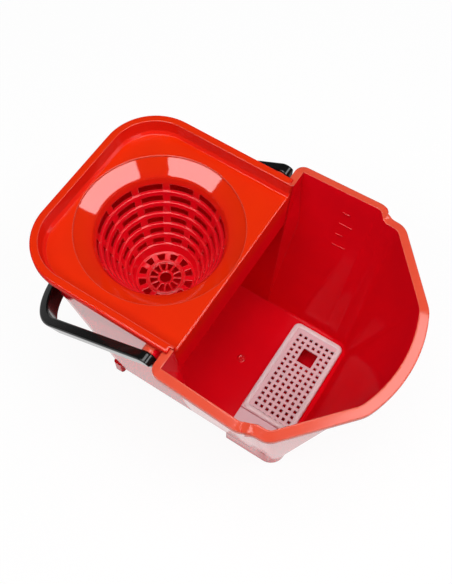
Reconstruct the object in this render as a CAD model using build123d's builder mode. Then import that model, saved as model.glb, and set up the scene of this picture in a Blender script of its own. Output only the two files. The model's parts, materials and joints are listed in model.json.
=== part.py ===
from build123d import *
import os
from math import acos, atan, atan2, cos, degrees, hypot, radians, sin, tan

# Mop bucket: a drafted tub with a pouring prow, a drop-in tray with a slotted wringing basket,
# a grit screen over the sump and a bail handle that hangs behind the tub.
# Frame: X along the bucket with the prow at +X, Y across it, Z up from the floor it stands on.
# All sizes are in millimetres.

# Wringing basket
mouth_radius = 75.4
flare_width = 22.1
flare_drop = 15.0
basket_floor_radius = 36.0
basket_depth = 119.0
basket_skin = 2.4
mouth_round = 7.0
slot_rows = 6
slot_row_pitch = 14.7
first_ledge_drop = 33.0
slot_height = 7.2
ledge_depth = 1.8
rib_count = 12
rib_width = 9.0
drain_floor = 3.0
drain_outer = (24.5, 33.0)
drain_spoke = 7.0
drain_inner = (10.0, 19.0)
drain_fin = 2.4
drain_eye = 7.0
drain_ring = (20.2, 22.6)
drain_ring_rise = 1.4

# Wringer tray and its hook-over lip
tray_skin = 2.5
tray_recess = 14.0
tray_bevel = 3.0
side_margin = 16.7
back_margin = 4.7
front_margin = 0.8
lip_width = 9.5
lip_thickness = 3.0
lip_depth = 8.0
lip_skirt = 2.3
lip_corner = 64.0
lip_setback = 3.0
lip_round = 2.2
apron_drop = 56.0
nose_round = 2.0

# Tub
rim_height = 272.0
wall = 2.6
rear_lap = 28.0
base_edge = 14.0
base_side_room = 7.8
base_corner = 15.0
base_bend = 10.0
base_bow = 1.0
floor_top = 26.0
floor_skin = 3.0
floor_fillet = 4.0
back_rake = 45.0
prow_rake = 83.0
bead_width = 1.5
bead_depth = 6.0

# Rolled rim and prow
front_length = 219.0
step_width = 25.3
step_setback = 9.0
side_flare = 3.6
notch_start = 106.0
notch_run = 15.0
notch_inset = 7.6
notch_fade = 1.0
notch_outer_round = 18.0
notch_inner_round = 16.0
prow_corner_back = 82.0
prow_corner_round = 20.0
prow_corner_slack = 0.5
prow_edge_back = 15.0
prow_edge_half = 68.3
prow_edge_round = 40.0
rim_overhang = 7.4
rim_depth = 9.0
rim_skin = 3.0
rim_round = 4.0
step_round = 12.0
web_drop = 75.0
web_reach = 10.0
prow_drop = 6.0

# Feet and sump
foot_flange = 2.2
foot_border = 3.0
foot_corner = 20.0
foot_skin = 3.0
foot_rise = 30.0
sump_floor = 5.0
sump_skin = 3.0
sump_corner = 8.0
heel_length = 14.0
heel_width = 20.0
heel_inset = 40.0
heel_round = 4.0

# Grit screen
hole_pitch = 8.0
hole_side = 4.0
hole_columns = 7
hole_rows = 16
screen_rear_border = 14.5
screen_front_border = 9.5
screen_end_border = 15.2
hole_shift = 9.0
screen_height = 6.0
screen_skin = 2.4
screen_bevel = 1.2
screen_corner = 8.0
screen_setback = 5.0
finger_side = 21.0
finger_row = 3
tongue_border = 5.7
tongue_drop = 4.0
screen_seat = 3.5
spigot_depth = 3.0

# Bail handle and its pivots
bail_thickness = 12.3
bail_depth = 22.0
bail_bend = 52.0
bail_sweep_room = 9.5
bail_bevel = 2.4
hub_radius = 11.5
pivot_drop = 16.0
peg_radius = 5.0
peg_length = 6.2
boss_radius = 9.5
bore_depth = 6.2

# Fits
tray_gap = 0.5
lip_gap = 0.4
screen_gap = 0.6
bore_gap = 0.06
bail_side_gap = 6.5
boss_gap = 0.65
bail_rest_gap = 0.5
hub_gap = 1.5

# Plan stations
flare_radius = mouth_radius + flare_width
tray_length = lip_width + back_margin + 2 * flare_radius + front_margin
overall_length = tray_length - step_setback + front_length
x_back = -overall_length / 2
x_axis = x_back + lip_width + back_margin + flare_radius
x_tray = x_back + tray_length
x_step = x_tray - step_setback
x_prow = x_step + front_length
lip_half_width = flare_radius + side_margin + lip_width
rim_half_width = lip_half_width + step_width
lip_hook = lip_skirt + lip_gap + bead_width
base_back = x_back + back_rake
base_front = x_prow - prow_rake

# Screen and sump stations
screen_width = screen_rear_border + (hole_columns - 1) * hole_pitch + screen_front_border
hole_reach = (hole_rows - 1) * hole_pitch / 2
screen_length = 2 * (hole_shift + hole_reach + screen_end_border)
tongue_length = 2 * hole_shift + screen_end_border - tongue_border
x_screen = base_front - screen_setback - screen_width / 2
x_holes = base_front - screen_setback - screen_front_border - (hole_columns - 1) * hole_pitch / 2
mouth_width = screen_width - 2 * screen_seat
mouth_length = screen_length - 2 * screen_seat
screen_top = floor_top + screen_height

# Base and foot, which are as wide as the screen needs
base_half_width = screen_length / 2 + base_side_room
foot_half_width = base_half_width + foot_flange
foot_length = screen_width + foot_border

# Levels
lip_top = rim_height + lip_thickness
low_rim = rim_height - prow_drop
tray_top = rim_height - tray_recess
drain_top = tray_top - basket_depth


def between(low, high, z):
    # A size at height z, on the straight draft from the base edge up to the rim.
    return low + (high - low) * (z - base_edge) / (rim_height - base_edge)


def rear_half(z):
    return between(base_half_width, lip_half_width - lip_hook, z)


def rear_back(z):
    return between(base_back, x_back + lip_hook, z)


def front_half(z):
    return between(base_half_width, rim_half_width - rim_overhang, z)


def rear_body(bottom, top, inset, front):
    # The rear between two levels: its back and sides lean out as they rise, and its back corners are round.
    side_view = [(rear_back(bottom) + inset, bottom), (front, bottom), (front, top), (rear_back(top) + inset, top)]
    low_half = rear_half(bottom) - inset
    high_half = rear_half(top) - inset
    with BuildPart() as body:
        with BuildSketch(Plane.XZ):
            Polygon(*side_view, align=None)
        extrude(amount=rim_half_width, both=True)
        with BuildSketch(Plane.YZ):
            Polygon((-low_half, bottom), (low_half, bottom), (high_half, top), (-high_half, top), align=None)
        extrude(amount=overall_length, both=True, mode=Mode.INTERSECT)
        back_face = body.faces().sort_by(Axis.X)[0]
        fillet(back_face.edges().filter_by(Axis.Y, reverse=True), lip_corner - lip_hook - inset)
    return body.part


def rounded_back(z, back, front, half, corner):
    with BuildSketch(Plane.XY.offset(z)) as section:
        with Locations(((back + front) / 2, 0)):
            Rectangle(front - back, 2 * half)
        fillet(section.vertices().group_by(Axis.X)[0], corner)
    return section.sketch


def prow_section(z, corners, apex, inset, rounds):
    # Level section of the front: straight sides, two bends, a slanted edge and a bowed nose.
    start = corners[0]
    last = corners[-1]
    with BuildSketch(Plane.XY.offset(z)) as section:
        with BuildLine():
            Polyline(*corners)
            mirror(about=Plane.XZ)
            ThreePointArc(last, (apex, 0), (last[0], -last[1]))
            Line((start[0], -start[1]), start)
        make_face()
        if inset:
            offset(amount=-inset, kind=Kind.INTERSECTION, mode=Mode.REPLACE)
        far_side = section.vertices().filter_by(lambda v: v.Y > 0).sort_by(Axis.X)
        spots = [v.center() for v in far_side]
        for spot, (radius, turn) in zip(spots, rounds):
            if radius:
                ends = [spot, Vector(spot.X, -spot.Y, spot.Z)]
                fillet([section.vertices().sort_by_distance(p)[0] for p in ends], radius - turn * inset)
    return section.sketch


# Plan of the rim: step, two bends of the notch, prow corner and end of the slanted edge
x_notch = x_step + notch_start + notch_run / 2
notch_half = rim_half_width + side_flare - notch_inset
rim_corners = [
    (x_step, rim_half_width),
    (x_step + notch_start, rim_half_width + side_flare),
    (x_step + notch_start + notch_run, notch_half),
    (x_prow - prow_corner_back, notch_half - prow_corner_slack),
    (x_prow - prow_edge_back, prow_edge_half),
]
rim_bends = [
    (0, 1),
    (notch_outer_round, 1),
    (notch_inner_round, -1),
    (prow_corner_round, 1),
    (prow_edge_round, 1),
]

band_bends = [(step_round, 1)] + rim_bends[1:]

# Plan of the base: the same bends, drawn in to one small corner whose cut runs as the slanted edge does
base_cut = base_corner * (1 - tan(radians(45 / 2)))
cut_slope = (rim_corners[3][1] - rim_corners[4][1]) / (rim_corners[4][0] - rim_corners[3][0])
x_cut = base_front - base_cut
x_fade = x_cut - (rim_corners[3][0] - rim_corners[2][0])
base_corners = [
    (x_step + rim_overhang, base_half_width),
    (x_fade - notch_run, base_half_width),
    (x_fade, base_half_width - notch_fade),
    (x_cut, base_half_width - notch_fade),
    (base_front - base_bow, base_half_width - notch_fade - (base_cut - base_bow) * cut_slope),
]
base_bends = rim_bends[:3] + [(base_bend, 1), (base_bend, 1)]


def base_section(inset):
    return prow_section(base_edge, base_corners, base_front, inset, base_bends)


def front_walls(inset):
    # Body of the front, leaning outwards from the base edge to the rim.
    with BuildPart() as walls:
        rim_section = prow_section(rim_height, rim_corners, x_prow, inset + rim_overhang, rim_bends)
        loft([base_section(inset), rim_section], ruled=True)
    return walls.part


def rim_band(top):
    # Band of the rim with a rounded upper edge.
    with BuildPart() as band:
        extrude(prow_section(top, rim_corners, x_prow, 0, band_bends), amount=-rim_depth)
        fillet(band.faces().sort_by(Axis.Z)[-1].edges(), rim_round)
    return band.part


def rim_channel(top):
    # Hollow underneath the band, behind its turned-down edge.
    with BuildPart() as channel:
        inner = prow_section(top - rim_depth, rim_corners, x_prow, rim_skin, band_bends)
        extrude(inner, amount=rim_depth - rim_skin)
    return channel.part


# Feet, sump and tray stations
x_heel = base_back + heel_inset + heel_length / 2
y_heel = foot_half_width - heel_width / 2
x_hook = x_step - hub_gap
tray_inset = wall + tray_gap
mouth_level = tray_top - flare_drop
mouth_under = mouth_level - basket_skin / 2


def foot_outline(inset):
    with BuildSketch() as outline:
        with Locations((base_front - foot_length / 2, 0)):
            Rectangle(foot_length - 2 * inset, 2 * (foot_half_width - inset))
        fillet(outline.vertices().group_by(Axis.X)[-1], foot_corner - inset)
    return outline.sketch


def sump_outline(z, grow):
    with BuildSketch(Plane.XY.offset(z)) as outline:
        with Locations((x_screen, 0)):
            RectangleRounded(mouth_width + 2 * grow, mouth_length + 2 * grow, sump_corner + grow)
    return outline.sketch


def basket_radius(z):
    # Mean inner radius of the basket, which narrows evenly from the mouth to the drain floor.
    slope = (mouth_radius - basket_floor_radius) / (mouth_level - drain_top)
    return basket_floor_radius + slope * (z - drain_top)


def ledge_level(row):
    return tray_top - first_ledge_drop - row * slot_row_pitch


# Half section of the basket: flare, stepped inner face, then the smooth outer face back up.
basket_profile = [(flare_radius, tray_top), (mouth_radius, mouth_level)]
for row in range(slot_rows):
    z = ledge_level(row)
    basket_profile += [(basket_radius(z) + ledge_depth / 2, z), (basket_radius(z) - ledge_depth / 2, z)]
basket_profile += [
    (basket_floor_radius, drain_top),
    (basket_floor_radius, drain_top - drain_floor),
    (basket_floor_radius + basket_skin, drain_top - drain_floor),
    (mouth_radius + basket_skin, mouth_under),
    (flare_radius, tray_top - tray_skin),
]

# Pivot stations
x_pivot = x_step - hub_radius - hub_gap
z_pivot = rim_height - pivot_drop
hub_face = lip_half_width + bail_side_gap
boss_face = hub_face - boss_gap
bail_reach = x_pivot - x_back + bail_sweep_room

# At rest the crossbar lies against the back wall, which leans out as it rises.
rake = atan2(rear_back(base_edge) - rear_back(rim_height), rim_height - base_edge)
wall_distance = (x_pivot - rear_back(z_pivot)) * cos(rake) + bail_rest_gap
bar_corner = hypot(bail_reach, bail_depth / 2)
rest_angle = rake + acos(wall_distance / bar_corner) - atan(bail_depth / 2 / bail_reach)

# Rims of the sides and of the lower prow; the side rim is solid where it slopes down to the prow
with BuildPart() as side_channel:
    add(rim_channel(rim_height))
    split(bisect_by=Plane.YZ.offset(x_notch - 2 * prow_drop), keep=Keep.BOTTOM)

with BuildPart() as side_rim:
    add(rim_band(rim_height))
    add(side_channel.part, mode=Mode.SUBTRACT)
    split(bisect_by=Plane.YZ.offset(x_notch), keep=Keep.BOTTOM)

with BuildPart() as prow_rim:
    add(rim_band(low_rim))
    add(rim_channel(low_rim), mode=Mode.SUBTRACT)
    split(bisect_by=Plane.YZ.offset(x_notch), keep=Keep.TOP)

# Inside of the front compartment, rounded into its floor
with BuildPart() as front_inside:
    add(front_walls(wall))
    split(bisect_by=Plane.XY.offset(floor_top), keep=Keep.TOP)
    low_edges = front_inside.edges().group_by(Axis.Z)[0]
    fillet(low_edges.sort_by(Axis.X)[1:], floor_fillet)

# Webs in the step's corners: from the rim they slant inwards to the step's edge, then back to the floor
x_web = x_step + rim_overhang + wall
web_level = rim_height - web_drop
web_ends = (floor_top - floor_skin / 2, rim_height - rim_round)


def step_webs(shift, sunk):
    # Shifted outwards by one wall, the same wedges are the hollows behind the webs.
    edge = x_web - shift
    rear = rear_half(web_level) - wall + shift
    front = front_half(web_level) - wall + shift
    with BuildPart() as webs:
        with BuildSketch(Plane.XY.offset(web_level)) as wedge:
            Polygon((edge, rear), (edge + web_reach, front), (edge + web_reach, front + sunk),
                    (edge - sunk, front + sunk), (edge - sunk, rear), align=None)
        low, high = [Vertex(edge - sunk, front_half(z) - wall + shift + sunk, z) for z in web_ends]
        loft([low, wedge.sketch, high], ruled=True)
        mirror(about=Plane.XZ)
    return webs.part


# Tub
with BuildPart() as tub:
    add(rear_body(base_edge, rim_height, 0, x_tray + rear_lap))
    add(front_walls(0))

    # Bead that the wringer's lip hooks over
    bead = rounded_back(rim_height, x_back + lip_skirt + lip_gap, x_tray,
                        lip_half_width - lip_skirt - lip_gap, lip_corner - lip_skirt - lip_gap)
    extrude(bead, amount=-bead_depth)

    # Prow is lower than the sides
    with BuildSketch(Plane.XY.offset(low_rim)):
        with Locations((x_notch + front_length / 2, 0)):
            Rectangle(front_length, 4 * rim_half_width)
    extrude(amount=2 * prow_drop, mode=Mode.SUBTRACT)
    add(side_rim.part)
    add(prow_rim.part)
    with BuildSketch(Plane.XZ):
        with BuildLine():
            Polyline((x_notch - prow_drop, rim_height), (x_notch, low_rim),
                     (x_notch, rim_height), close=True)
        make_face()
    extrude(amount=2 * rim_half_width, both=True, mode=Mode.SUBTRACT)

    # Recess under the floor, inside the base edge
    extrude(base_section(wall), amount=floor_top - floor_skin - base_edge, mode=Mode.SUBTRACT)
    add(rear_body(base_edge, floor_top - floor_skin, wall, x_tray + rear_lap), mode=Mode.SUBTRACT)

    # Front foot: a skirt around the sump
    extrude(foot_outline(0), amount=foot_rise)
    extrude(foot_outline(foot_skin), amount=floor_top - floor_skin, mode=Mode.SUBTRACT)
    extrude(sump_outline(sump_floor - sump_skin, sump_skin), amount=floor_top - sump_floor)

    # Heels under the rear corners
    with BuildSketch():
        with Locations((x_heel, y_heel), (x_heel, -y_heel)):
            RectangleRounded(heel_length, heel_width, heel_round)
    extrude(amount=floor_top - floor_skin)

    # Both compartments and the sump between them
    add(front_inside.part, mode=Mode.SUBTRACT)
    add(rear_body(floor_top, rim_height, wall, x_tray + rear_lap), mode=Mode.SUBTRACT)
    extrude(sump_outline(sump_floor, 0), amount=floor_top - sump_floor, mode=Mode.SUBTRACT)
    add(step_webs(0, wall / 2))
    add(step_webs(wall, wall), mode=Mode.SUBTRACT)

    # Bosses with blind bores for the handle's pegs
    for side in (1, -1):
        seat = Plane((x_pivot, side * boss_face, z_pivot), z_dir=(0, -side, 0))
        with BuildSketch(seat):
            Circle(boss_radius)
        extrude(amount=boss_face - rear_half(z_pivot) + wall / 2)
        with BuildSketch(seat):
            Circle(peg_radius + bore_gap)
        extrude(amount=bore_depth, mode=Mode.SUBTRACT)

# Hollow of the wringer tray, bevelled where the tray turns up
with BuildPart() as tray_hollow:
    add(rear_body(tray_top, lip_top, tray_inset + tray_skin, x_tray + lip_width))
    low_edges = tray_hollow.edges().group_by(Axis.Z)[0]
    chamfer(low_edges.sort_by(Axis.X)[:-1], tray_bevel)

# Apron that hangs from the tray's front edge
with BuildPart() as apron:
    add(rear_body(tray_top - apron_drop, tray_top, tray_inset, x_tray))
    split(bisect_by=Plane.YZ.offset(x_tray - tray_skin), keep=Keep.TOP)

# Wringer: lip, tray, apron and basket in one moulding
with BuildPart() as wringer:
    # Lip that hooks over the tub's bead
    hook = rounded_back(lip_top, x_back, x_hook, lip_half_width, lip_corner)
    extrude(hook, amount=-lip_depth)
    hook_inside = rounded_back(rim_height, x_back + lip_skirt, x_tray,
                               lip_half_width - lip_skirt, lip_corner - lip_skirt)
    extrude(hook_inside, amount=lip_thickness - lip_depth, mode=Mode.SUBTRACT)
    lip = rounded_back(lip_top, x_back, x_tray - lip_setback, lip_half_width, lip_corner)
    extrude(lip, amount=-lip_thickness)
    fillet(wringer.faces().sort_by(Axis.Z)[-1].edges(), lip_round)

    # Tray
    add(rear_body(tray_top - tray_skin, lip_top, tray_inset, x_tray))
    add(tray_hollow.part, mode=Mode.SUBTRACT)
    add(apron.part)
    fillet(wringer.edges().sort_by_distance(Vector(x_tray, 0, tray_top))[0], nose_round)
    with BuildSketch(Plane.XY.offset(tray_top)):
        with Locations((x_axis, 0)):
            Circle(flare_radius - tray_skin)
    extrude(amount=-tray_skin, mode=Mode.SUBTRACT)

    # Flare and stepped wall of the basket
    with BuildSketch(Plane.XZ) as skin:
        with BuildLine():
            Polyline(*[(x_axis + r, z) for r, z in basket_profile], close=True)
        make_face()
        mouth_edge = Vector(x_axis + mouth_radius, mouth_level)
        fillet(skin.vertices().sort_by_distance(mouth_edge)[0], mouth_round)
    revolve(axis=Axis((x_axis, 0, 0), (0, 0, 1)))

    # Rows of slots, each standing on a ledge and parted by upright ribs
    for row in range(slot_rows):
        z = ledge_level(row)
        reach = basket_radius(z + slot_height) + 2 * basket_skin
        with BuildSketch(Plane.XY.offset(z)):
            with Locations((x_axis, 0)):
                Circle(reach)
                Circle(basket_radius(z) - 2 * ledge_depth, mode=Mode.SUBTRACT)
                with PolarLocations(0, rib_count // 2, angular_range=180):
                    Rectangle(2 * reach + rib_width, rib_width, mode=Mode.SUBTRACT)
        extrude(amount=slot_height, mode=Mode.SUBTRACT)

    # Drain floor with two rings of openings and an eye
    with BuildSketch(Plane.XY.offset(drain_top - drain_floor)):
        with Locations((x_axis, 0)):
            Circle(basket_floor_radius + basket_skin)
    extrude(amount=drain_floor)
    with BuildSketch(Plane.XY.offset(drain_top)):
        with Locations((x_axis, 0)):
            Circle(drain_ring[1])
            Circle(drain_ring[0], mode=Mode.SUBTRACT)
    extrude(amount=drain_ring_rise)
    for (inner, outer), bar in ((drain_outer, drain_spoke), (drain_inner, drain_fin)):
        with BuildSketch(Plane.XY.offset(drain_top - drain_floor)):
            with Locations((x_axis, 0)):
                Circle(outer)
                Circle(inner, mode=Mode.SUBTRACT)
                with PolarLocations(0, rib_count // 2, angular_range=180):
                    Rectangle(2 * outer + bar, bar, mode=Mode.SUBTRACT)
        extrude(amount=drain_floor, mode=Mode.SUBTRACT)
    with BuildSketch(Plane.XY.offset(drain_top - drain_floor)):
        with Locations((x_axis, 0)):
            Circle(drain_eye)
    extrude(amount=drain_floor, mode=Mode.SUBTRACT)

# Grit screen: a perforated lid that stands on the floor round the sump's mouth
with BuildPart() as screen:
    with BuildSketch(Plane.XY.offset(floor_top)) as lid:
        with Locations((x_screen, 0)):
            Rectangle(screen_width, screen_length)
        fillet(lid.vertices(), screen_corner)
    extrude(amount=screen_height)
    chamfer(screen.faces().sort_by(Axis.Z)[-1].edges(), screen_bevel)
    with BuildSketch(Plane.XY.offset(screen_top - tongue_drop)):
        with Locations((x_screen, (tongue_length - screen_length) / 2)):
            Rectangle(screen_width, tongue_length)
    extrude(amount=tongue_drop, mode=Mode.SUBTRACT)
    with BuildSketch(Plane.XY.offset(floor_top)):
        with Locations((x_screen, tongue_length / 2)):
            RectangleRounded(screen_width - 2 * screen_skin, screen_length - tongue_length - 2 * screen_skin,
                             screen_corner - screen_skin)
    extrude(amount=screen_height - screen_skin, mode=Mode.SUBTRACT)

    # Spigot that drops into the sump's mouth
    spigot_length = mouth_length - tongue_length - screen_gap
    with BuildSketch(Plane.XY.offset(floor_top - spigot_depth)):
        with Locations((x_screen, (tongue_length - screen_gap) / 2)):
            RectangleRounded(mouth_width - 2 * screen_gap, spigot_length, sump_corner - screen_gap)
            RectangleRounded(mouth_width - 2 * screen_gap - 2 * screen_skin, spigot_length - 2 * screen_skin,
                             sump_corner - screen_gap - screen_skin, mode=Mode.SUBTRACT)
    extrude(amount=spigot_depth + screen_height - screen_skin)

    # Square holes and the larger finger hole
    with BuildSketch(Plane.XY.offset(screen_top)):
        with Locations((x_holes, hole_shift)):
            with GridLocations(hole_pitch, hole_pitch, hole_columns, hole_rows):
                Rectangle(hole_side, hole_side)
        with Locations((x_holes, hole_shift + hole_reach - finger_row * hole_pitch)):
            Rectangle(finger_side, finger_side)
    extrude(amount=-screen_height, mode=Mode.SUBTRACT)

# Bail handle: one strap bent round the back, with a hub and a peg at each end
bail_plane = Plane((x_pivot, 0, z_pivot), x_dir=(-cos(rest_angle), 0, -sin(rest_angle)),
                   z_dir=(sin(rest_angle), 0, -cos(rest_angle)))
arm = hub_face + bail_thickness / 2
bar = bail_reach + bail_thickness / 2
with BuildPart() as bail:
    with BuildLine(bail_plane) as spine:
        FilletPolyline((0, -arm), (bar, -arm), (bar, arm), (0, arm), radius=bail_bend)
    with BuildSketch(Plane(spine.line @ 0, x_dir=(0, 1, 0), z_dir=spine.line % 0)) as strap:
        Rectangle(bail_thickness, bail_depth)
        chamfer(strap.vertices(), bail_bevel)
    sweep()
    for side in (1, -1):
        hub_plane = Plane((x_pivot, side * hub_face, z_pivot), z_dir=(0, side, 0))
        with BuildSketch(hub_plane):
            Circle(hub_radius)
        extrude(amount=bail_thickness)
        with BuildSketch(hub_plane):
            Circle(peg_radius)
        extrude(amount=-peg_length)

tub.part.label = "bucket_tub"
wringer.part.label = "wringer"
screen.part.label = "grit_screen"
bail.part.label = "bail_handle"

os.makedirs("parts", exist_ok=True)
export_step(tub.part, "parts/bucket_tub.step")
export_step(wringer.part, "parts/wringer.step")
export_step(screen.part, "parts/grit_screen.step")
export_step(bail.part, "parts/bail_handle.step")

print("bail rests", round(degrees(rest_angle), 2), "degrees below level")
print("pivot at", round(x_pivot, 2), round(z_pivot, 2), "hub face", round(hub_face, 2))
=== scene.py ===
# %% [markdown]
# # Mop bucket with wringer
# A red tub with a pouring prow, a drop-in wringer with a slotted basket, a white grit screen and a black
# bail handle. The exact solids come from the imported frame. This script shades them smoothly, adds a few
# forms that they lack, and gives them finishes, a studio and a camera. The outer size and the joints stay
# as they are.

# %% Load the frame
import json
from math import cos, pi, radians, sin

import bmesh
import bpy
import numpy as np
from mathutils import Matrix, Vector
from mathutils.bvhtree import BVHTree


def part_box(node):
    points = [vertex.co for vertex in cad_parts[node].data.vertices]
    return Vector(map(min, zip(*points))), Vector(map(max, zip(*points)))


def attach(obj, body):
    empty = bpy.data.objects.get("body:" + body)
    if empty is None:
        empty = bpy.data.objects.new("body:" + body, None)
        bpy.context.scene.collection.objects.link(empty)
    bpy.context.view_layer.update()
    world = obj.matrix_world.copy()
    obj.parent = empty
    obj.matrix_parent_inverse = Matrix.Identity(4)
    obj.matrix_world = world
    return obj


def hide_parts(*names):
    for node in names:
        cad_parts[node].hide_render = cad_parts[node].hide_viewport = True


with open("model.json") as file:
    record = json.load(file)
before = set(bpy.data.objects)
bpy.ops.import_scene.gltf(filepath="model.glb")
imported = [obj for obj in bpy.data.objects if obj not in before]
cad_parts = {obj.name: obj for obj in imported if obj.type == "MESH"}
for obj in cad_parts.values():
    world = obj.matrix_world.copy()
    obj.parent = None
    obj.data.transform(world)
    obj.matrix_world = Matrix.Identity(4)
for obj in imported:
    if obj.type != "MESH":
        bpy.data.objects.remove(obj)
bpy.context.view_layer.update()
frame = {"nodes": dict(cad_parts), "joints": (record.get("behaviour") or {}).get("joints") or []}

# %% [markdown]
# ## Writing nodes as sums
# A finish is a small formula: a colour, a few noises and a mask for the edges. Placing each node by hand
# hides that formula, so a `Wire` stands for an output socket and its operators add Math nodes. A `Graph`
# adds every other node by one method: the node's type, its settings, then the values or wires of its
# sockets.

# %% Wires and graphs
class Wire:
    """An output socket that can be used in a sum."""

    def __init__(self, graph, socket):
        self.graph = graph
        self.socket = socket

    def maths(self, operation, first, second):
        return self.graph.node("ShaderNodeMath", {"operation": operation}, {0: first, 1: second})[0]

    def __add__(self, other):
        return self.maths("ADD", self, other)

    def __radd__(self, other):
        return self.maths("ADD", other, self)

    def __sub__(self, other):
        return self.maths("SUBTRACT", self, other)

    def __rsub__(self, other):
        return self.maths("SUBTRACT", other, self)

    def __mul__(self, other):
        return self.maths("MULTIPLY", self, other)

    def __rmul__(self, other):
        return self.maths("MULTIPLY", other, self)


class Made:
    """A node that was added: its outputs are found by name or by number."""

    def __init__(self, graph, node):
        self.graph = graph
        self.node = node

    def __getitem__(self, key):
        return Wire(self.graph, pick(self.node.outputs, key))


def pick(sockets, key):
    if isinstance(key, int):
        return sockets[key]
    return next(socket for socket in sockets if socket.name == key and socket.enabled)


class Graph:
    """A node tree with one method that adds any node."""

    def __init__(self, tree):
        self.tree = tree
        self.tree.nodes.clear()

    def node(self, kind, settings=None, inputs=None):
        node = self.tree.nodes.new(kind)
        for name, value in (settings or {}).items():
            setattr(node, name, value)
        for key, value in (inputs or {}).items():
            socket = pick(node.inputs, key)
            if isinstance(value, Wire):
                self.tree.links.new(value.socket, socket)
            else:
                socket.default_value = value
        return Made(self, node)


print("node helpers ready")

# %% [markdown]
# ## Moulded plastic
# All pieces are injection mouldings. Polished steel tools leave them glossy, but never perfectly flat: the
# melt leaves slow waves and a fine orange peel, handling leaves faint rub marks in the gloss, and every edge
# is a little round, where a painted highlight makes the colour paler. The red is painted warmer and paler on
# the tops, as lit, and stays deeper down in the hollows, as painted shade. A picture could hold all that, but
# it would not follow a new size, so noise and height on Object coordinates give the waves, marks and painted
# light, and the Bevel node rounds edges and finds them for the painted highlight. Worn faces carry an
# attribute that fades the glossy shader into one without gloss; the same attribute keeps them in the deeper,
# shaded colour and weakens their painted edge highlight.

# %% Plastic finish
FLOW = {"Scale": 14.0, "Detail": 3.0, "Roughness": 0.5}
RUB = {"Scale": 90.0, "Detail": 5.0, "Roughness": 0.65}
GRAIN = {"Scale": 1500.0, "Detail": 1.0, "Roughness": 0.5}
FLOW_BUMP = {"Strength": 0.12, "Distance": 0.0003}
GRAIN_BUMP = {"Strength": 0.05, "Distance": 0.00005}
BEVEL_SAMPLES = 6
EDGE_SPAN = 0.25
STREAKS = 0.35
HIGHLIGHT_PALENESS = 0.6
HIGHLIGHT_CUT_ON_WORN = 0.8
HIGHLIGHT_SHARE_DOWN_LOW = 0.4
RUB_ROUGHNESS = 0.06
EDGE_ROUGHNESS = 0.06
DARK = (0.0, 0.0, 0.0)


def tinted(colour, share, other):
    """A colour with a share of another, as the four numbers that a colour socket takes."""
    return (*((1 - share) * c + share * o for c, o in zip(colour, other)), 1.0)


def moulded_plastic(name, *, low_colour, lit_top_colour, levels, roughness, ior, edge_round, edge_highlight, highlight_colour,
                    shade_on_worn=0.0):
    """A finish that turns from its low colour to its lit top colour between two levels, as painted light and
    shade, with soft edges that carry a painted highlight.
    """
    material = bpy.data.materials.new(name)
    material.use_nodes = True
    graph = Graph(material.node_tree)
    place = graph.node("ShaderNodeTexCoord")["Object"]
    height = graph.node("ShaderNodeSeparateXYZ", None, {"Vector": place})["Z"]

    def noise(sizes):
        return graph.node("ShaderNodeTexNoise", {"noise_dimensions": "3D"}, {"Vector": place, **sizes})["Fac"]

    def ramp(value, low, high):
        values = {"Value": value, "From Min": low, "From Max": high}
        return graph.node("ShaderNodeMapRange", {"interpolation_type": "SMOOTHSTEP"}, values)["Result"]

    def mixed(share, first, second):
        values = {"Factor": share, "A": first, "B": second}
        return graph.node("ShaderNodeMix", {"data_type": "RGBA"}, values)["Result"]

    def bumped(size, waves, normal):
        return graph.node("ShaderNodeBump", None, {**size, "Height": waves, "Normal": normal})["Normal"]

    flow, rub, grain = noise(FLOW), noise(RUB), noise(GRAIN)
    wear_and_shade = graph.node("ShaderNodeAttribute", {"attribute_name": "wear_and_shade"})["Fac"]
    # Painted light and shade: the lit top colour's share grows with height, and worn faces keep more of the
    # low, shaded colour.
    lit_top_share = ramp(height, *levels) * (1 - shade_on_worn * wear_and_shade)

    rounded = graph.node("ShaderNodeBevel", {"samples": BEVEL_SAMPLES}, {"Radius": edge_round})["Normal"]
    facing = graph.node("ShaderNodeNewGeometry")["Normal"]
    along = graph.node("ShaderNodeVectorMath", {"operation": "DOT_PRODUCT"}, {0: rounded, 1: facing})["Value"]
    edge = ramp(1 - along, 0.0, EDGE_SPAN)

    body = mixed(lit_top_share, (*low_colour, 1.0), (*lit_top_colour, 1.0))
    streaked = mixed(STREAKS * (1 - flow), body, tinted(low_colour, STREAKS, DARK))
    # Painted highlight: the rounded edges turn paler, less on worn faces and low down.
    painted_edge_highlight = edge * edge_highlight * (1 - HIGHLIGHT_CUT_ON_WORN * wear_and_shade) * (HIGHLIGHT_SHARE_DOWN_LOW + (1 - HIGHLIGHT_SHARE_DOWN_LOW) * lit_top_share)
    colour = mixed(painted_edge_highlight, streaked, tinted(lit_top_colour, HIGHLIGHT_PALENESS, highlight_colour))
    normal = bumped(GRAIN_BUMP, grain, bumped(FLOW_BUMP, flow, rounded))
    polish = roughness + RUB_ROUGHNESS * (rub - 0.5) + EDGE_ROUGHNESS * edge

    def plastic(values):
        look = {"Base Color": colour, "Normal": normal, **values}
        return graph.node("ShaderNodeBsdfPrincipled", None, look)["BSDF"]

    glossy = plastic({"Roughness": polish, "IOR": ior})
    worn = plastic({"Roughness": 1.0, "Specular IOR Level": 0.0})
    blend = graph.node("ShaderNodeMixShader", None, {0: wear_and_shade, 1: glossy, 2: worn})["Shader"]
    graph.node("ShaderNodeOutputMaterial", None, {"Surface": blend})
    return material


print("plastic finish ready")
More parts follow.
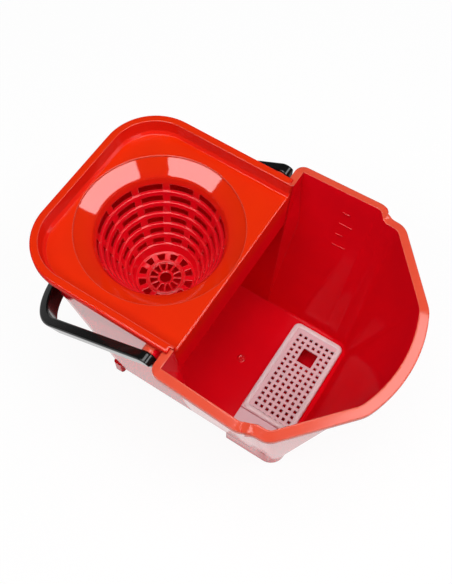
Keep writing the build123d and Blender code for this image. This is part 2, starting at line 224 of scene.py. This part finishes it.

# %% [markdown]
# The four mouldings share that formula. The tub is crimson, with a painted salmon sheen on its rim; the
# wringer turns from crimson in the basket, as painted shade, to a lit orange red on the tray; the screen's
# field carries a painted pink reflection of the red tub and its raised border is painted whiter, as lit; and
# the handle is black, with faint painted edge highlights.

# %% Finish of each moulding
CRIMSON = (0.88, 0.003, 0.013)
# The tray's orange red is a painted lit colour over the crimson.
LIT_ORANGE_RED = (0.83, 0.030, 0.0008)
# The rim's paler red is a painted salmon sheen, the soft boxes mirrored in its top.
RIM_SHEEN_RED = (0.84, 0.105, 0.050)
# The screen's pink field is a painted reflection of the red tub, and its border's whiter colour is painted
# light.
RED_BOUNCE_WHITE = (0.90, 0.72, 0.77)
LIT_BORDER_WHITE = (0.95, 0.97, 0.99)
BLACK = (0.006, 0.006, 0.006)
# Colours of the painted edge highlights.
HIGHLIGHT_SALMON = (1.0, 0.42, 0.32)
HIGHLIGHT_WHITE = (1.0, 1.0, 1.0)
PLASTICS = {
    "tub_plastic": {
        "low_colour": CRIMSON, "lit_top_colour": RIM_SHEEN_RED, "levels": (0.250, 0.262), "roughness": 0.11, "ior": 1.48,
        "edge_round": 0.0024, "edge_highlight": 0.3, "highlight_colour": HIGHLIGHT_SALMON, "shade_on_worn": 1.25},
    "wringer_plastic": {
        "low_colour": CRIMSON, "lit_top_colour": LIT_ORANGE_RED, "levels": (0.222, 0.252), "roughness": 0.05, "ior": 1.65,
        "edge_round": 0.0020, "edge_highlight": 0.4, "highlight_colour": HIGHLIGHT_SALMON, "shade_on_worn": 0.5},
    "screen_plastic": {
        "low_colour": RED_BOUNCE_WHITE, "lit_top_colour": LIT_BORDER_WHITE, "levels": (0.03202, 0.0322), "roughness": 0.34, "ior": 1.5,
        "edge_round": 0.0010, "edge_highlight": 0.6, "highlight_colour": HIGHLIGHT_WHITE},
    "handle_plastic": {
        "low_colour": BLACK, "lit_top_colour": BLACK, "levels": (0.0, 1.0), "roughness": 0.13, "ior": 1.45,
        "edge_round": 0.0004, "edge_highlight": 0.03, "highlight_colour": HIGHLIGHT_WHITE},
}
FINISHES = {name: moulded_plastic(name, **values) for name, values in PLASTICS.items()}
print("finishes", sorted(FINISHES))

# %% [markdown]
# ## Smooth mouldings
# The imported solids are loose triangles, so each facet would catch the light by itself. A copy with its
# doubles merged can share normals across the facets of one curve. Edges sharper than the limit stay
# crisp, and weighted normals keep the large flat walls flat beside their small rounds.

# %% Merge and smooth the solids
MERGE_DIGITS = 6
SMOOTH_LIMIT = radians(33)
WALL_WEIGHT = 80


def merged_copy(node, name):
    source = frame["nodes"][node].data
    spots = np.empty(len(source.vertices) * 3)
    source.vertices.foreach_get("co", spots)
    spots = np.round(spots.reshape(-1, 3), MERGE_DIGITS)
    merged, number = np.unique(spots, axis=0, return_inverse=True)
    faces = [[int(number[v]) for v in face.vertices] for face in source.polygons]
    faces = [face for face in faces if len(set(face)) == len(face)]
    mesh = bpy.data.meshes.new(name)
    mesh.from_pydata(merged.tolist(), [], faces)
    mesh.validate()
    return mesh


def shown(mesh, body, slot, *nodes):
    """Puts a finished mesh in the scene, on its body and with its finish."""
    mesh.shade_smooth()
    mesh.set_sharp_from_angle(angle=SMOOTH_LIMIT)
    mesh.materials.clear()
    mesh.materials.append(FINISHES[slot])
    piece = bpy.data.objects.new(mesh.name, mesh)
    bpy.context.collection.objects.link(piece)
    weighted = piece.modifiers.new("flat_walls", "WEIGHTED_NORMAL")
    weighted.keep_sharp = True
    weighted.weight = WALL_WEIGHT
    if nodes:
        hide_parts(*nodes)
    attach(piece, body)
    print(mesh.name, "faces", len(mesh.polygons))


def mark_wear_and_shade(mesh, rule):
    """Keeps for each face, as the attribute that the finish reads, how much of its gloss is gone; the same
    share paints the face deeper, as shade, and weakens its painted edge highlight.
    """
    marks = mesh.attributes.new("wear_and_shade", "FLOAT", "FACE")
    for face in mesh.polygons:
        marks.data[face.index].value = rule(face.center, face.normal)


print("moulding helpers ready")

# %% [markdown]
# ## The grit screen
# An off-white lid lies over the sump in the tub's floor and keeps the mop out of the grit that sinks
# through its holes. The solid has every hole and the finger hole, so it needs only smooth shading and its
# finish.

# %% Finish the screen
shown(merged_copy("grit_screen", "screen_moulding"), "screen", "screen_plastic", "grit_screen")

# %% [markdown]
# ## The wringer
# A mop is pressed and turned in the wringer's basket, and the water leaves through rows of slots that
# stand on ledges. The real slots are taller than the solid's. Cutting them again could leave slivers on
# the ribs, so the upper edge of each row is moved up, and the wall between it and the next ledge is
# pressed together by as much.

# %% Raise the slots
TRAY_LEVEL = 0.258
BASKET_X = -0.0983
BASKET_ROUND = 0.085
SLOT_ROWS = 6
SLOT_PITCH = 0.0147
SLOT_HIGH = 0.0072
SLOT_RAISE = 0.0020
SLOT_ROOM = 0.00005
FIRST_LEDGE = TRAY_LEVEL - 0.033


def raise_slots(mesh):
    """Moves the upper edges of the slots up. The wall above gives way evenly, up to the next ledge."""
    axis = Vector((BASKET_X, 0.0))
    tops = [FIRST_LEDGE - row * SLOT_PITCH + SLOT_HIGH for row in range(SLOT_ROWS)]
    wall = SLOT_PITCH - SLOT_HIGH
    moved = 0
    for vertex in mesh.vertices:
        over = [vertex.co.z - top for top in tops if -SLOT_ROOM < vertex.co.z - top < wall]
        if over and (vertex.co.xy - axis).length < BASKET_ROUND:
            vertex.co.z += SLOT_RAISE * (1 - over[0] / wall)
            moved += 1
    mesh.update()
    print("basket points moved", moved)


wringer_mesh = merged_copy("wringer", "wringer_moulding")
raise_slots(wringer_mesh)

# %% [markdown]
# Mop heads rub along the tray's upright border and hang over its apron, so both have lost most of their
# gloss, while the tray and the basket's flare stay polished. Both are also painted a deeper red, as shade.
# The worn faces are picked by where they stand and where they look.

# %% Finish the wringer
APRON_X = -0.010
APRON_FACING = 0.8
APRON_WEAR_AND_SHADE = 1.0
BORDER_START = TRAY_LEVEL + 0.0005
BORDER_FACING = 0.93
BORDER_WEAR_AND_SHADE = 0.85


def wringer_wear_and_shade(spot, normal):
    if spot.x > APRON_X and normal.x > APRON_FACING:
        return APRON_WEAR_AND_SHADE
    if spot.z > BORDER_START and normal.z < BORDER_FACING:
        return BORDER_WEAR_AND_SHADE
    return 0.0


mark_wear_and_shade(wringer_mesh, wringer_wear_and_shade)
shown(wringer_mesh, "wringer", "wringer_plastic", "wringer")

# %% [markdown]
# ## The tub and its falling rim
# The real rim isn't level: it falls away outwards as one flat band with a crisp outer edge, so the near
# rim and the prow mirror the soft boxes over their whole width. The solid's rim is level with a rounded
# outer edge. A new rim could be swept along it, but the steps and the notch would need joints. So the
# solid's upper points are laid on the falling band by their distance from the rim's inner edge, and the
# skin under them is lowered by as much. The inner edge is found by its faces: one looks up, the other is
# a steep inner wall.

# %% Find the inner edge of the rim
RIM_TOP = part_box("bucket_tub")[1].z
RIM_SKIN = 0.0005
PROW_DROP = 0.006
STEP_X = -0.009
NOTCH_X = 0.1045
TUB_MIDDLE = Vector((0.06, 0.0, 0.0))
LOOKS_UP = 0.6
STEEP = 0.5


def clamped(share):
    return min(max(share, 0.0), 1.0)


def rim_level(x):
    return RIM_TOP - PROW_DROP * clamped((x - NOTCH_X) / PROW_DROP + 1)


def inner_rim_edges(mesh):
    faces_of = {}
    for face in mesh.polygons:
        for key in face.edge_keys:
            faces_of.setdefault(key, []).append(face)
    found = []
    for (a, b), faces in faces_of.items():
        first, second = mesh.vertices[a].co, mesh.vertices[b].co
        middle = (first + second) / 2
        if len(faces) != 2 or middle.x < STEP_X or rim_level(middle.x) - middle.z > RIM_SKIN:
            continue
        flat, steep = sorted(faces, key=lambda face: -face.normal.z)
        looks_in = steep.normal.xy.dot((TUB_MIDDLE - middle).xy) > 0
        if flat.normal.z > LOOKS_UP and abs(steep.normal.z) < STEEP and looks_in:
            found.append((first.copy(), second.copy()))
    return found


tub_mesh = merged_copy("bucket_tub", "tub_moulding")
rim_edges = inner_rim_edges(tub_mesh)
print("inner rim edges", len(rim_edges))

# %% Lay the rim on its fall
RIM_BAND = 0.0033
RIM_WIDE = 0.011
RIM_FALL = 0.30
RIM_START = STEP_X - 0.0001
UPPER_FACING = 0.2
SHORTEST = 1e-12


def nearest_on(edges, spot):
    """The distance in plan from a spot to the nearest edge, and the height of that edge there."""
    best = (1.0, 0.0)
    for first, second in edges:
        run = second - first
        share = clamped((spot - first).xy.dot(run.xy) / max(run.xy.length_squared, SHORTEST))
        near = first + share * run
        best = min(best, ((near - spot).xy.length, near.z))
    return best


def lay_rim(mesh, edges):
    on_top = {v for face in mesh.polygons if face.normal.z > UPPER_FACING for v in face.vertices}
    lowered = 0
    for vertex in mesh.vertices:
        if vertex.co.x < RIM_START or vertex.co.z < RIM_TOP - PROW_DROP - RIM_BAND:
            continue
        out, level = nearest_on(edges, vertex.co)
        if level - vertex.co.z < RIM_BAND:
            fall = RIM_FALL * min(out, RIM_WIDE)
            vertex.co.z = level - fall if vertex.index in on_top else vertex.co.z - fall
            lowered += 1
    mesh.update()
    print("rim points lowered", lowered)


lay_rim(tub_mesh, rim_edges)

# %% [markdown]
# The inside of the tub is scoured by mops and grit, most of all in the prow, where it is poured out. There
# the gloss is nearly gone, and on the other inner faces about a fifth is left. The same marks keep the rim's
# painted sheen and most of the painted edge highlights off the inner faces, which stay in the deeper, shaded
# crimson.

# %% Finish the tub
INNER_WEAR_AND_SHADE = 0.8
PROW_WEAR_AND_SHADE = 0.95
PROW_START = 0.105
LEVEL_FACING = 0.9
FLOOR_REACH = 0.1


def tub_wear_and_shade(spot, normal):
    level = normal.z > LEVEL_FACING
    on_floor = level and spot.z < FLOOR_REACH
    looks_in = normal.z < LEVEL_FACING and normal.xy.dot((TUB_MIDDLE - spot).xy) > 0
    if not (looks_in or on_floor):
        return 0.0
    return PROW_WEAR_AND_SHADE if spot.x > PROW_START else INNER_WEAR_AND_SHADE


mark_wear_and_shade(tub_mesh, tub_wear_and_shade)
shown(tub_mesh, "tub", "tub_plastic", "bucket_tub")

# %% [markdown]
# ## Growing pieces with Geometry Nodes
# What follows a path or repeats is grown by a node tree, so that its sizes stay inputs with names.
# `grown` puts the tree on a carrier object, sets its inputs by their identifiers, keeps the result as a
# plain mesh and removes the carrier, because the finished model holds no live trees.

# %% Tree helpers
def tree_with(name, sizes):
    tree = bpy.data.node_groups.new(name, "GeometryNodeTree")
    tree.interface.new_socket("Geometry", in_out="INPUT", socket_type="NodeSocketGeometry")
    for title, value in sizes.items():
        kind = "NodeSocketInt" if isinstance(value, int) else "NodeSocketFloat"
        tree.interface.new_socket(title, in_out="INPUT", socket_type=kind)
    tree.interface.new_socket("Geometry", in_out="OUTPUT", socket_type="NodeSocketGeometry")
    graph = Graph(tree)
    return graph, graph.node("NodeGroupInput")


def vector(graph, x=0.0, y=0.0, z=0.0):
    return graph.node("ShaderNodeCombineXYZ", None, {"X": x, "Y": y, "Z": z})["Vector"]


def filleted(graph, curve, radius, steps):
    values = {"Curve": curve, "Radius": radius, "Count": steps, "Limit Radius": True}
    return graph.node("GeometryNodeFilletCurve", {"mode": "POLY"}, values)["Curve"]


def scaled(graph, geometry, factors):
    return graph.node("GeometryNodeTransform", None, {"Geometry": geometry, "Scale": factors})["Geometry"]


def swept(graph, curve, section, caps=False):
    values = {"Curve": curve, "Profile Curve": section, "Fill Caps": caps}
    return graph.node("GeometryNodeCurveToMesh", None, values)["Mesh"]


def end_tree(graph, geometry, finish):
    real = graph.node("GeometryNodeRealizeInstances", None, {"Geometry": geometry})["Geometry"]
    painted = graph.node("GeometryNodeSetMaterial", None, {"Geometry": real, "Material": finish})["Geometry"]
    graph.node("NodeGroupOutput", None, {"Geometry": painted})


def grown(name, tree, sizes, data):
    carrier = bpy.data.objects.new(name + "_carrier", data)
    bpy.context.collection.objects.link(carrier)
    modifier = carrier.modifiers.new(name, "NODES")
    modifier.node_group = tree
    for item in tree.interface.items_tree:
        if item.in_out == "INPUT" and item.name in sizes:
            modifier[item.identifier] = sizes[item.name]
    depsgraph = bpy.context.evaluated_depsgraph_get()
    mesh = bpy.data.meshes.new_from_object(carrier.evaluated_get(depsgraph), depsgraph=depsgraph)
    mesh.name = name
    carrier.modifiers.clear()
    bpy.data.objects.remove(carrier)
    print(name, "grown with", len(mesh.polygons), "faces")
    return mesh


print("tree helpers ready")

# %% [markdown]
# ## Bail handle
# The bail is one black moulding: a strap with soft edges that runs back from each pivot and round behind
# the tub, with a hub and a snap-in peg at each end. The strap follows a path, so a rounded section is
# swept along it. Each corner is longer across the bucket than along the arm, so a Fillet Curve node bends
# a narrow path and a Transform stretches it.

# %% Sweep the strap
STRAP_SIZES = {"Bend": 0.052, "Stretch": 1.55, "Thickness": 0.0123, "Depth": 0.022, "Draft": 0.0052,
               "Edge": 0.0021}
STRAP_REACH = 0.20365
BEND_STEPS = 24
EDGE_STEPS = 8
pivot = Vector(next(j for j in frame["joints"] if j["name"] == "bail_swing")["pos_m"])
arm_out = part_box("bail_handle")[1].y - STRAP_SIZES["Thickness"] / 2


def strap_tree():
    graph, given = tree_with("bail_strap", STRAP_SIZES)
    bent = filleted(graph, given["Geometry"], given["Bend"], BEND_STEPS)
    wide = scaled(graph, bent, vector(graph, 1.0, given["Stretch"], 1.0))
    upright = graph.node("GeometryNodeSetCurveNormal", {"mode": "Z_UP"}, {"Curve": wide})["Curve"]
    side, rise = given["Thickness"] * 0.5, given["Depth"] * 0.5
    corners = {"Point 1": vector(graph, side * -1.0, rise), "Point 2": vector(graph, side, rise),
               "Point 3": vector(graph, side - given["Draft"], rise * -1.0),
               "Point 4": vector(graph, side * -1.0, rise * -1.0)}
    section = graph.node("GeometryNodeCurvePrimitiveQuadrilateral", {"mode": "POINTS"}, corners)["Curve"]
    soft = filleted(graph, section, given["Edge"], EDGE_STEPS)
    end_tree(graph, swept(graph, upright, soft), FINISHES["handle_plastic"])
    return graph.tree


def open_path(name, points):
    curve = bpy.data.curves.new(name, "CURVE")
    curve.dimensions = "3D"
    spline = curve.splines.new("POLY")
    spline.points.add(len(points) - 1)
    for spot, (x, y) in zip(spline.points, points):
        spot.co = (x, y, 0.0, 1.0)
    return curve


narrow = arm_out / STRAP_SIZES["Stretch"]
corners = [(0.0, -narrow), (STRAP_REACH, -narrow), (STRAP_REACH, narrow), (0.0, narrow)]
strap = grown("bail_strap", strap_tree(), STRAP_SIZES, open_path("strap_path", corners))

# %% [markdown]
# The strap ends in half rounds about the pivots. Each open end is carried on in steps, every ring a
# little flatter than the one before, and the last ring is closed. Then the strap is laid at its hanging
# angle.

# %% Round the ends and hang the strap
END_STEPS = 8
END_TURN = radians(84)
END_ROOM = 0.00001
HANG = radians(30.61)


def round_ends(mesh):
    """Closes the open strap with a half round about each pivot, as deep as the strap."""
    radius = STRAP_SIZES["Depth"] / 2
    points = [vertex.co.copy() for vertex in mesh.vertices]
    faces = [tuple(face.vertices) for face in mesh.polygons]
    for side in (1, -1):
        first = [v.index for v in mesh.vertices if abs(v.co.x) < END_ROOM and side * v.co.y > 0]
        ring = first
        for step in range(1, END_STEPS + 1):
            angle = END_TURN * step / END_STEPS
            start = len(points)
            points += [Vector((-radius * sin(angle), points[v].y, points[v].z * cos(angle))) for v in first]
            fresh = list(range(start, len(points)))
            for k in range(len(ring)):
                faces.append((ring[k - 1], ring[k], fresh[k], fresh[k - 1]))
            ring = fresh
        faces.append(tuple(ring))
    mesh.clear_geometry()
    mesh.from_pydata([tuple(p) for p in points], [], faces)
    shell = bmesh.new()
    shell.from_mesh(mesh)
    bmesh.ops.recalc_face_normals(shell, faces=shell.faces)
    shell.to_mesh(mesh)
    shell.free()


def laid(spot, *axes):
    """The matrix that lays a mesh at a spot, along the three given axes."""
    return Matrix.Translation(spot) @ Matrix(axes).transposed().to_4x4()


round_ends(strap)
backwards = Vector((-cos(HANG), 0.0, -sin(HANG)))
upwards = Vector((sin(HANG), 0.0, -cos(HANG)))
strap.transform(laid(pivot, backwards, (0, 1, 0), upwards))
print("strap with ends", len(strap.polygons), "faces")

# %% [markdown]
# Hub and peg are round about the hinge's axis. A Spin would need its seam merged, so rings of points are
# laid from one half section and joined, and both ends are closed on the axis. Strap and hubs become one
# piece.

# %% Turn the hubs
TURN_STEPS = 48
ARC_STEPS = 6
HUB_RADIUS = 0.0078
HUB_WIDE = 0.0075
HUB_EDGE = 0.0016
HUB_SHADE = 0.0002
PEG_RADIUS = 0.005
PEG_LENGTH = 0.0062
PEG_CHAMFER = 0.0009


def turned(section, spot, axis):
    """A closed solid of revolution: the section is a list of (radius, height) from axis to axis."""
    turn = axis.to_track_quat("Z", "Y").to_matrix()
    points = []
    for radius, height in section[1:-1]:
        for step in range(TURN_STEPS):
            angle = 2 * pi * step / TURN_STEPS
            points.append(spot + turn @ Vector((radius * cos(angle), radius * sin(angle), height)))
    rows = len(section) - 2
    faces = []
    for row in range(rows - 1):
        low, high = row * TURN_STEPS, (row + 1) * TURN_STEPS
        for step in range(TURN_STEPS):
            after = (step + 1) % TURN_STEPS
            faces.append((low + step, low + after, high + after, high + step))
    for end, row in ((section[0], 0), (section[-1], rows - 1)):
        points.append(spot + turn @ Vector((0.0, 0.0, end[1])))
        ring = [row * TURN_STEPS + step for step in range(TURN_STEPS)]
        order = ring[::-1] if row == 0 else ring
        for a, b in zip(order, order[1:] + order[:1]):
            faces.append((a, b, len(points) - 1))
    return points, faces


def arc(centre, radius, start, stop):
    angles = [radians(start + (stop - start) * k / ARC_STEPS) for k in range(ARC_STEPS + 1)]
    return [(centre[0] + radius * cos(a), centre[1] + radius * sin(a)) for a in angles]


hub_section = [(0.0, -PEG_LENGTH), (PEG_RADIUS - PEG_CHAMFER, -PEG_LENGTH),
               (PEG_RADIUS, PEG_CHAMFER - PEG_LENGTH), (PEG_RADIUS, -HUB_SHADE)]
hub_section += arc((HUB_RADIUS - HUB_EDGE, HUB_EDGE - HUB_SHADE), HUB_EDGE, -90, 0)
hub_section += arc((HUB_RADIUS - HUB_EDGE, HUB_WIDE - HUB_EDGE), HUB_EDGE, 0, 90)
hub_section += [(0.0, HUB_WIDE)]

bail_points = [vertex.co.copy() for vertex in strap.vertices]
bail_faces = [tuple(face.vertices) for face in strap.polygons]
hub_out = arm_out - STRAP_SIZES["Thickness"] / 2
for side in (1, -1):
    hub_spot = Vector((pivot.x, side * hub_out, pivot.z))
    hub_points, hub_faces = turned(hub_section, hub_spot, Vector((0, side, 0)))
    bail_faces += [tuple(len(bail_points) + v for v in face) for face in hub_faces]
    bail_points += hub_points
bail_mesh = bpy.data.meshes.new("bail_moulding")
bail_mesh.from_pydata([tuple(p) for p in bail_points], [], bail_faces)
bail_mesh.validate()
shown(bail_mesh, "bail", "handle_plastic", "bail_handle")

# %% [markdown]
# ## Border of the grit screen
# A broad border runs round the screen's upper plate, between the edge and the holes. It is a little crowned
# and stiffens the plate, and it is painted whiter than the perforated field, as lit. It follows the plate's
# outline, so a flat oval is swept along a rectangle with rounded corners and half sunk in the plate. The
# plate ends at the low tongue, which rays from above find, so the border's length and width are measured and
# not written down.

# %% Measure the upper plate
BORDER_INSET = 0.0038
SEARCH_STEP = 0.0002
SEARCH_TOP = 0.1
PLATE_SKIN = 0.001
DOWN = Vector((0, 0, -1))
screen_low, screen_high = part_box("grit_screen")


def skin_of(mesh):
    return BVHTree.FromPolygons([v.co for v in mesh.vertices], [f.vertices for f in mesh.polygons])


def plate_start():
    """The first place along the screen where the upper plate lies under a ray from above."""
    skin = skin_of(bpy.data.objects["screen_moulding"].data)
    y = screen_low.y
    while y < screen_high.y:
        spot = skin.ray_cast(Vector((screen_low.x + BORDER_INSET, y, SEARCH_TOP)), DOWN)[0]
        if spot and spot.z > screen_high.z - PLATE_SKIN:
            break
        y += SEARCH_STEP
    return y


plate_low = plate_start()
print("plate starts at y", round(plate_low, 4))

# %% Sweep the border
BORDER_SIZES = {
    "Length": screen_high.y - plate_low - 2 * BORDER_INSET,
    "Width": screen_high.x - screen_low.x - 2 * BORDER_INSET,
    "Corner": 0.0052, "Wide": 0.0066, "Rise": 0.0011}
CORNER_STEPS = 10
OVAL_STEPS = 28


def border_tree():
    graph, given = tree_with("screen_border", BORDER_SIZES)
    outline = graph.node("GeometryNodeCurvePrimitiveQuadrilateral", None,
                         {"Width": given["Width"], "Height": given["Length"]})["Curve"]
    soft = filleted(graph, outline, given["Corner"], CORNER_STEPS)
    upright = graph.node("GeometryNodeSetCurveNormal", {"mode": "Z_UP"}, {"Curve": soft})["Curve"]
    circle = graph.node("GeometryNodeCurvePrimitiveCircle", None, {"Resolution": OVAL_STEPS, "Radius": 1.0})
    oval = scaled(graph, circle["Curve"], vector(graph, given["Wide"] * 0.5, given["Rise"], 1.0))
    end_tree(graph, swept(graph, upright, oval), FINISHES["screen_plastic"])
    return graph.tree


border_mesh = grown("screen_border", border_tree(), BORDER_SIZES, bpy.data.meshes.new("border_seed"))
border_x = (screen_low.x + screen_high.x) / 2
border_y = (plate_low + screen_high.y) / 2
border_mesh.transform(Matrix.Translation((border_x, border_y, screen_high.z)))
shown(border_mesh, "screen", "screen_plastic")

# %% [markdown]
# ## Level scale
# Four raised strokes stand on the far inner wall, long and short in turn, to fill the tub by. They
# repeat, so a node tree sets one rounded stroke on each point of a line and stretches every second one
# less. The line is laid on the wall by casting rays at the tub, so it follows the wall's lean.

# %% Grow the scale
SCALE_SIZES = {"Strokes": 4, "Pitch": 0.0182, "Long": 0.017, "Short": 0.0095, "Width": 0.0014}
SCALE_X = 0.0575
SCALE_LOW = 0.1893
SCALE_HIGH = 0.242
STROKE_STEPS = 10
FAR = Vector((0, 1, 0))
tub_skin = skin_of(tub_mesh)


def scale_tree():
    graph, given = tree_with("level_scale", SCALE_SIZES)
    values = {"Count": given["Strokes"], "Offset": vector(graph, z=given["Pitch"])}
    line = graph.node("GeometryNodeMeshLine", None, values)["Mesh"]
    ridge = graph.node("GeometryNodeCurvePrimitiveLine", None, {"End": (1.0, 0.0, 0.0)})["Curve"]
    values = {"Resolution": STROKE_STEPS, "Radius": given["Width"] * 0.5}
    tube = graph.node("GeometryNodeCurvePrimitiveCircle", None, values)["Curve"]
    stroke = swept(graph, ridge, tube, caps=True)
    number = graph.node("GeometryNodeInputIndex")["Index"]
    odd = graph.node("ShaderNodeMath", {"operation": "MODULO"}, {0: number, 1: 2.0})[0]
    length = given["Long"] + odd * (given["Short"] - given["Long"])
    values = {"Points": line, "Instance": stroke, "Scale": vector(graph, length, 1.0, 1.0)}
    strokes = graph.node("GeometryNodeInstanceOnPoints", None, values)["Instances"]
    end_tree(graph, strokes, FINISHES["tub_plastic"])
    return graph.tree


def wall_spot(x, z):
    return tub_skin.ray_cast(Vector((x, 0.0, z)), FAR)[0]


scale_start = wall_spot(SCALE_X, SCALE_LOW)
along_wall = (wall_spot(SCALE_X + SCALE_SIZES["Long"], SCALE_LOW) - scale_start).normalized()
up_wall = (wall_spot(SCALE_X, SCALE_HIGH) - scale_start).normalized()
scale_mesh = grown("level_scale", scale_tree(), SCALE_SIZES, bpy.data.meshes.new("scale_seed"))
scale_mesh.transform(laid(scale_start, along_wall, up_wall.cross(along_wall), up_wall))
shown(scale_mesh, "tub", "tub_plastic")

# %% [markdown]
# ## Gate mark
# Where the melt entered the mould, the middle of the floor keeps a small ring and the stub of the sprue.
# Both are turned from one half section and sunk a little in the floor.

# %% Turn the gate mark
GATE_START = Vector((0.0147, 0.0, 0.15))
GATE_SECTION = [(0.0, -0.0005), (0.0058, -0.0005), (0.0056, 0.0001), (0.0052, 0.0003), (0.0046, 0.0003),
                (0.0042, 0.0001), (0.0018, 0.0001), (0.0015, 0.0004), (0.0, 0.0005)]
gate_spot = tub_skin.ray_cast(GATE_START, DOWN)[0]
gate_points, gate_faces = turned(GATE_SECTION, gate_spot, Vector((0, 0, 1)))
gate_mesh = bpy.data.meshes.new("gate_mark")
gate_mesh.from_pydata([tuple(p) for p in gate_points], [], gate_faces)
shown(gate_mesh, "tub", "tub_plastic")

# %% [markdown]
# ## Studio
# The bucket stands on a white sweep. More light could make the floor white, but it would bleach the red
# as well, so the floor glows white only to the camera and to reflections. A share of it stays a plain
# surface, so that the bucket's soft shadow remains. The room above is dim, and to the camera it is as
# white as the far floor, so that low views show no horizon.

# %% Floor and room
FLOOR_SIZE = 12.0
FLOOR_DROP = 0.0003
FLOOR_COLOUR = (0.86, 0.86, 0.86, 1.0)
FLOOR_GLOW = 1.02
FLOOR_SHADOW = 0.09
FAR_FLOOR = 0.93
PURE_WHITE = (1.0, 1.0, 1.0, 1.0)
ROOM_LIGHT = {"From Min": 0.02, "From Max": 0.12, "To Min": 1.0, "To Max": 0.03}


def floor_finish():
    material = bpy.data.materials.new("studio_floor")
    material.use_nodes = True
    graph = Graph(material.node_tree)
    path = graph.node("ShaderNodeLightPath")
    seen = path["Is Camera Ray"] + path["Is Glossy Ray"] + path["Is Transmission Ray"]
    surface = graph.node("ShaderNodeBsdfDiffuse", None, {"Color": FLOOR_COLOUR})["BSDF"]
    white = graph.node("ShaderNodeEmission", None, {"Color": PURE_WHITE, "Strength": FLOOR_GLOW})["Emission"]
    values = {0: seen * (1 - FLOOR_SHADOW), 1: surface, 2: white}
    blend = graph.node("ShaderNodeMixShader", None, values)["Shader"]
    graph.node("ShaderNodeOutputMaterial", None, {"Surface": blend})
    return material


def pale_floor():
    half = FLOOR_SIZE / 2
    ways = ((-1, -1), (1, -1), (1, 1), (-1, 1))
    mesh = bpy.data.meshes.new("studio_floor")
    mesh.from_pydata([(half * x, half * y, -FLOOR_DROP) for x, y in ways], [], [(0, 1, 2, 3)])
    mesh.materials.append(floor_finish())
    floor = bpy.data.objects.new("studio_floor", mesh)
    bpy.context.collection.objects.link(floor)


def dim_room():
    world = bpy.data.worlds.new("studio_room")
    world.use_nodes = True
    graph = Graph(world.node_tree)
    way = graph.node("ShaderNodeTexCoord")["Generated"]
    height = graph.node("ShaderNodeSeparateXYZ", None, {"Vector": way})["Z"]
    level = graph.node("ShaderNodeMapRange", {"clamp": True}, {"Value": height, **ROOM_LIGHT})["Result"]
    seen = graph.node("ShaderNodeLightPath")["Is Camera Ray"]
    values = {"Color": PURE_WHITE, "Strength": level + seen * (FAR_FLOOR - level)}
    light = graph.node("ShaderNodeBackground", None, values)["Background"]
    graph.node("ShaderNodeOutputWorld", None, {"Surface": light})
    bpy.context.scene.world = world


pale_floor()
dim_room()
print("floor and room ready")

# %% [markdown]
# Three soft boxes light the bucket. The basket's flare mirrors one on each side of the camera, with a gap
# between them, so those two are placed by where their ends are seen from the basket. The third hangs
# overhead for the level faces.

# %% Soft boxes
BOX_DISTANCE = 1.9
BOX_AIM = Vector((-0.06, 0.0, 0.2))


def way_to(azimuth, elevation):
    turn, rise = radians(azimuth), radians(elevation)
    return Vector((cos(rise) * cos(turn), cos(rise) * sin(turn), sin(rise)))


def soft_box(name, first_end, second_end, high, radiance):
    """A soft box whose two ends are seen from the basket at the given azimuths and elevations."""
    first, second = way_to(*first_end), way_to(*second_end)
    middle = (first + second).normalized()
    first, second = (BOX_DISTANCE / end.dot(middle) * end for end in (first, second))
    along = (second - first).normalized()
    wide = (second - first).length
    light = bpy.data.lights.new(name, "AREA")
    light.shape = "RECTANGLE"
    light.size = wide
    light.size_y = high
    light.energy = radiance * pi * wide * high
    lamp = bpy.data.objects.new(name, light)
    lamp.matrix_world = laid(BOX_AIM + BOX_DISTANCE * middle, along, middle.cross(along), middle)
    bpy.context.collection.objects.link(lamp)
    print(name, "wide", round(wide, 2), "watts", round(light.energy, 1))


soft_box("left_soft_box", (-136.0, 41.0), (-76.0, 55.0), high=0.52, radiance=5.2)
soft_box("right_soft_box", (-26.0, 54.0), (48.0, 35.0), high=0.52, radiance=5.2)
soft_box("top_soft_box", (-140.0, 73.0), (40.0, 73.0), high=1.0, radiance=4.9)

# %% [markdown]
# ## Camera
# The camera stands high in front of the near side. Its place and turn were solved from the grid of holes
# in the screen and from the rims, and its focal length from the same fit.

# %% Camera
CAMERA_PLACE = (0.20429, -0.35298, 1.02403)
CAMERA_RIGHT = (0.8412155, 0.5405817, 0.0114372)
CAMERA_UP = (-0.4882495, 0.7503641, 0.4456028)
FOCAL_PIXELS = 813.96
PICTURE_HIGH = 584
SENSOR = 36.0

right = Vector(CAMERA_RIGHT).normalized()
back = right.cross(Vector(CAMERA_UP)).normalized()
up = back.cross(right)
camera = bpy.data.objects.new("camera", bpy.data.cameras.new("camera"))
camera.data.sensor_width = SENSOR
camera.data.lens = FOCAL_PIXELS / PICTURE_HIGH * SENSOR
camera.matrix_world = laid(CAMERA_PLACE, right, up, back)
bpy.context.collection.objects.link(camera)
bpy.context.scene.camera = camera
bpy.context.scene.view_settings.view_transform = "Standard"
print("lens", round(camera.data.lens, 2), "mm")
